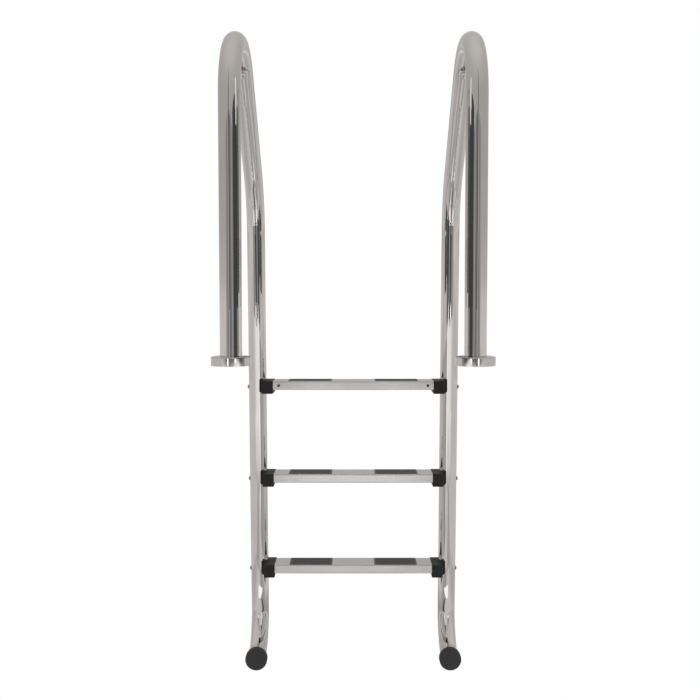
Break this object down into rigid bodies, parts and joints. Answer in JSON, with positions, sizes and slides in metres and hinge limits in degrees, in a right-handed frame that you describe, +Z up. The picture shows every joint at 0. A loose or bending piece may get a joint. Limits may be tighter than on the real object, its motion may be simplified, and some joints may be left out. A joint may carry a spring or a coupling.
{
  "type": "pool ladder",
  "caption": "Deck-mounted pool ladder: two bent tube handrails, flat treads with grip pads on moulded brackets, deck covers and rubber wall bumpers.",
  "frame": {"origin": "on the deck, at the level of the base flanges' undersides, midway between the two posts", "axes": "+Z up along the posts, +Y from the deck towards the pool, +X to the right of somebody who faces the pool"},
  "size_m": [0.534, 0.5739, 1.3965],
  "materials": {
    "rail_steel": "polished",
    "cover_steel": "polished",
    "flange_steel": "satin",
    "tread_steel": "satin",
    "fastener_steel": "satin",
    "screw_steel": "satin",
    "grip_rubber": "matte",
    "bracket_plastic": "matte",
    "cap_rubber": "matte"
  },
  "bodies": {
    "frame": {"rail_left": "rail_steel", "base_flange_left": "flange_steel", "foot_cap_left": "cap_rubber", "rail_right": "rail_steel", "base_flange_right": "flange_steel", "foot_cap_right": "cap_rubber", "tread_top": "tread_steel", "grip_pad_top_left": "grip_rubber", "end_bracket_top_left": "bracket_plastic", "tread_bolt_top_left": "fastener_steel", "grip_pad_top_right": "grip_rubber", "end_bracket_top_right": "bracket_plastic", "tread_bolt_top_right": "fastener_steel", "tread_middle": "tread_steel", "grip_pad_middle_left": "grip_rubber", "end_bracket_middle_left": "bracket_plastic", "tread_bolt_middle_left": "fastener_steel", "grip_pad_middle_right": "grip_rubber", "end_bracket_middle_right": "bracket_plastic", "tread_bolt_middle_right": "fastener_steel", "tread_bottom": "tread_steel", "grip_pad_bottom_left": "grip_rubber", "end_bracket_bottom_left": "bracket_plastic", "tread_bolt_bottom_left": "fastener_steel", "grip_pad_bottom_right": "grip_rubber", "end_bracket_bottom_right": "bracket_plastic", "tread_bolt_bottom_right": "fastener_steel", "bracket_nuts": "fastener_steel", "tread_screws": "screw_steel"},
    "escutcheon_left": {"escutcheon_left": "cover_steel"},
    "escutcheon_right": {"escutcheon_right": "cover_steel"}
  },
  "joints": [
    {"name": "escutcheon_left_slide", "type": "slide", "parent": "frame", "child": "escutcheon_left", "axis": [0, 0, 1], "range_m": [0, 0.47]},
    {"name": "escutcheon_right_slide", "type": "slide", "parent": "frame", "child": "escutcheon_right", "axis": [0, 0, 1], "range_m": [0, 0.47]}
  ]
}
